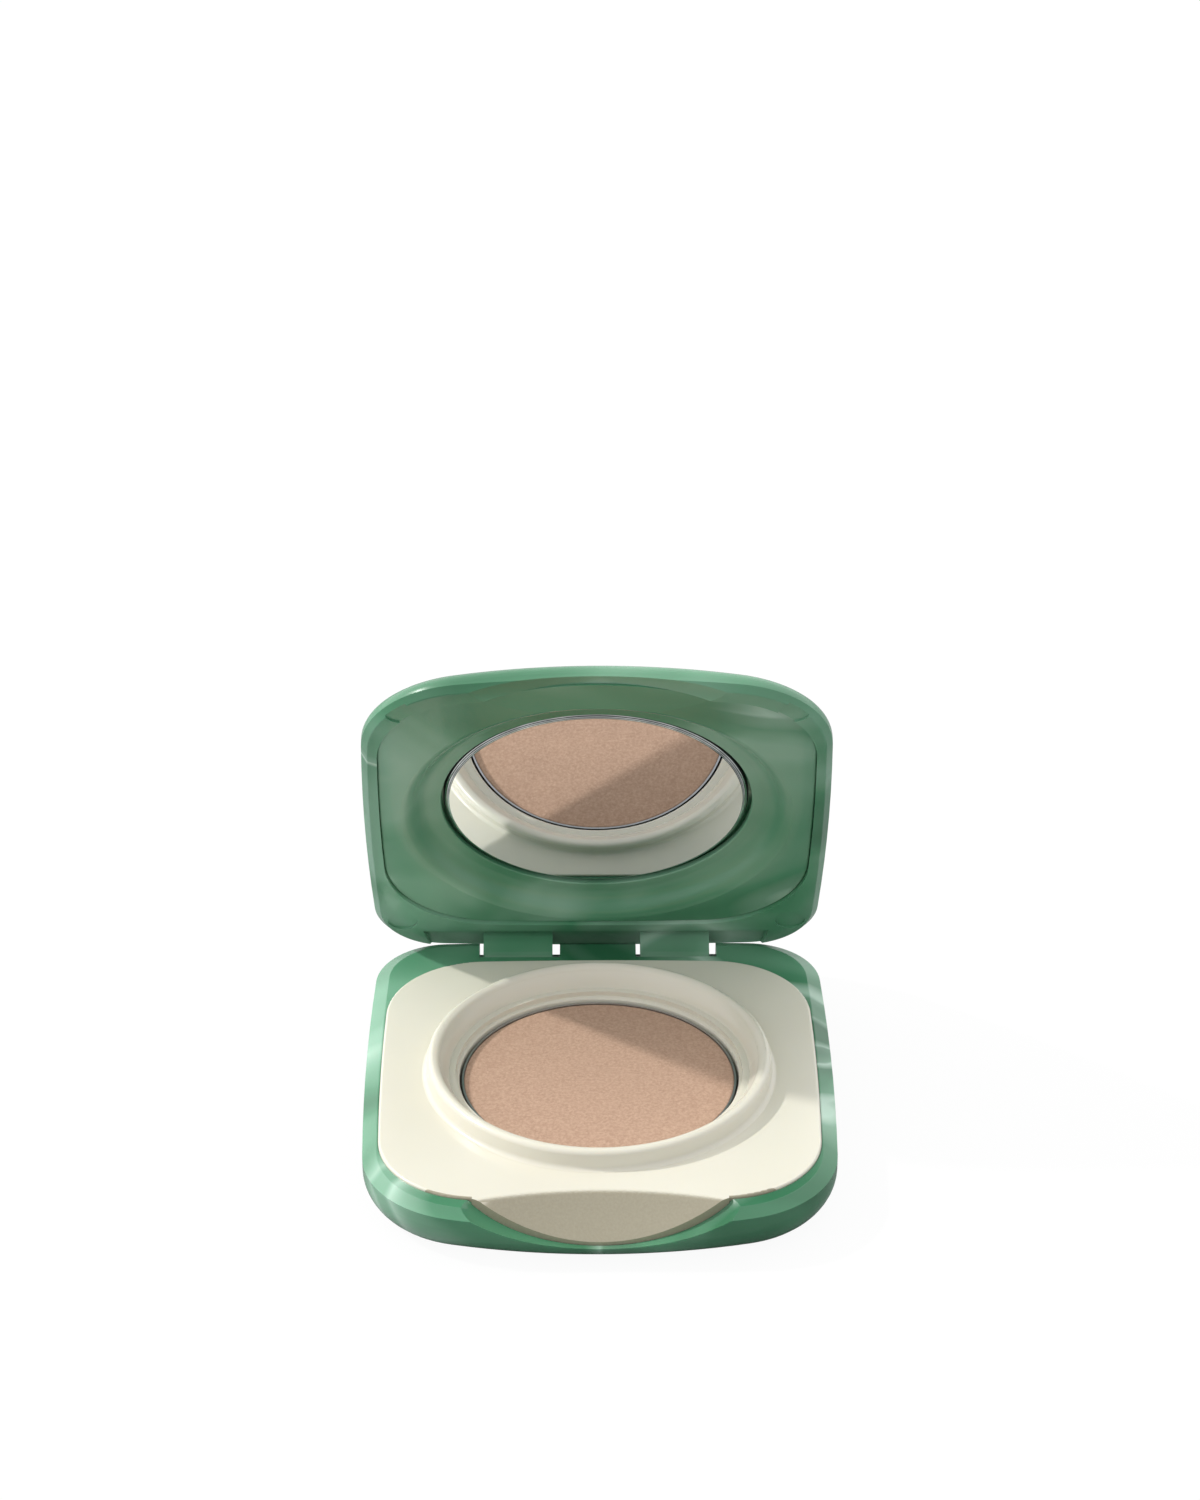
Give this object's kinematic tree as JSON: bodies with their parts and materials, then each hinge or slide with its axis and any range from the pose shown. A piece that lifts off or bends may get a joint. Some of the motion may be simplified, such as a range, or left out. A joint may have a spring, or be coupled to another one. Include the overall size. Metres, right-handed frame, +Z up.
{
  "type": "powder compact",
  "caption": "Soft-square compact with a hinged mirror lid, a raised round collar, and a pan of pressed powder; lid open.",
  "frame": {"origin": "on the underside plane, straight below the centre of the powder pan", "axes": "+Z up from the underside, +X to the right seen from the front, -Y towards the front (thumb scoop), +Y towards the hinge"},
  "size_m": [0.0752, 0.0864, 0.0778],
  "materials": {
    "marbled_green": "glossy, swirled green",
    "green_panel": "glossy, swirled green",
    "ivory_plastic": "glossy ivory",
    "powder": "pressed powder, matt",
    "pan_metal": "pressed thin sheet",
    "adhesive": "adhesive",
    "magnet": "nickel plated",
    "pin_steel": "drawn wire",
    "mirror_glass": "clear plate",
    "silvering": "silvered"
  },
  "bodies": {
    "base": {"base_shell": "marbled_green", "base_insert": "ivory_plastic", "pressed_powder": "powder", "pan": "pan_metal", "pan_glue": "adhesive", "base_magnet_left": "magnet", "base_magnet_right": "magnet", "hinge_pin": "pin_steel"},
    "lid": {"lid_shell": "marbled_green", "lid_panel": "green_panel", "mirror_glass": "mirror_glass", "mirror_silvering": "silvering", "mirror_tape": "adhesive", "lid_magnet_left": "magnet", "lid_magnet_right": "magnet"}
  },
  "joints": [
    {"name": "lid_hinge", "type": "hinge", "parent": "base", "child": "lid", "pos_m": [0, 0.0374, 0.006], "axis": [-1, 0, 0], "range_deg": [-63.5, 70]}
  ]
}
